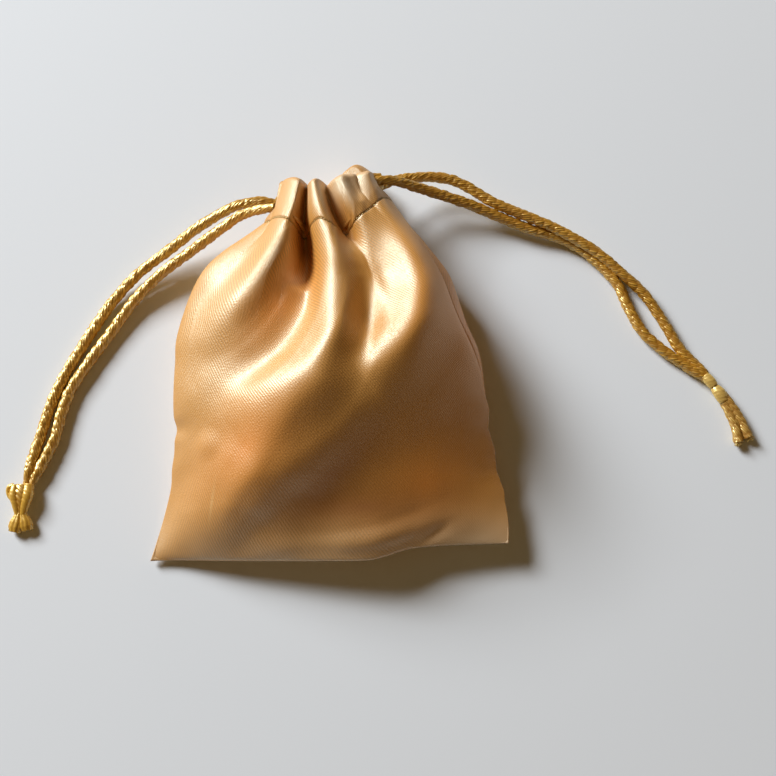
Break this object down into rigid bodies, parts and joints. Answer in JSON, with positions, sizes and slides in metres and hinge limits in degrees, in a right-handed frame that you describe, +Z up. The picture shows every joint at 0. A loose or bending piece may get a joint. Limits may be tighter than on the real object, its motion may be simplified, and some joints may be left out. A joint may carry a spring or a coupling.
{
  "type": "potli bag",
  "caption": "Small satin drawstring pouch lying on its back, its mouth drawn into soft rolls by doubled cords that run through folded casings and end in knots.",
  "frame": {"origin": "on the table, under the middle of the pouch's box without its cords", "axes": "+X across the pouch, +Y from the bottom edge to the mouth, +Z up from the table"},
  "size_m": [0.2035, 0.1113, 0.0336],
  "materials": {
    "satin": "shiny gold satin with a fine diagonal weave",
    "cord": "silky twisted gold cord"
  },
  "bodies": {
    "root": {"front_panel": "satin", "back_panel": "satin", "left_cord_run": "cord", "right_cord_run": "cord", "left_cord_front": "cord", "left_cord_back": "cord", "right_cord_front": "cord", "right_cord_back": "cord", "left_knot": "cord", "right_knot": "cord"}
  },
  "joints": []
}
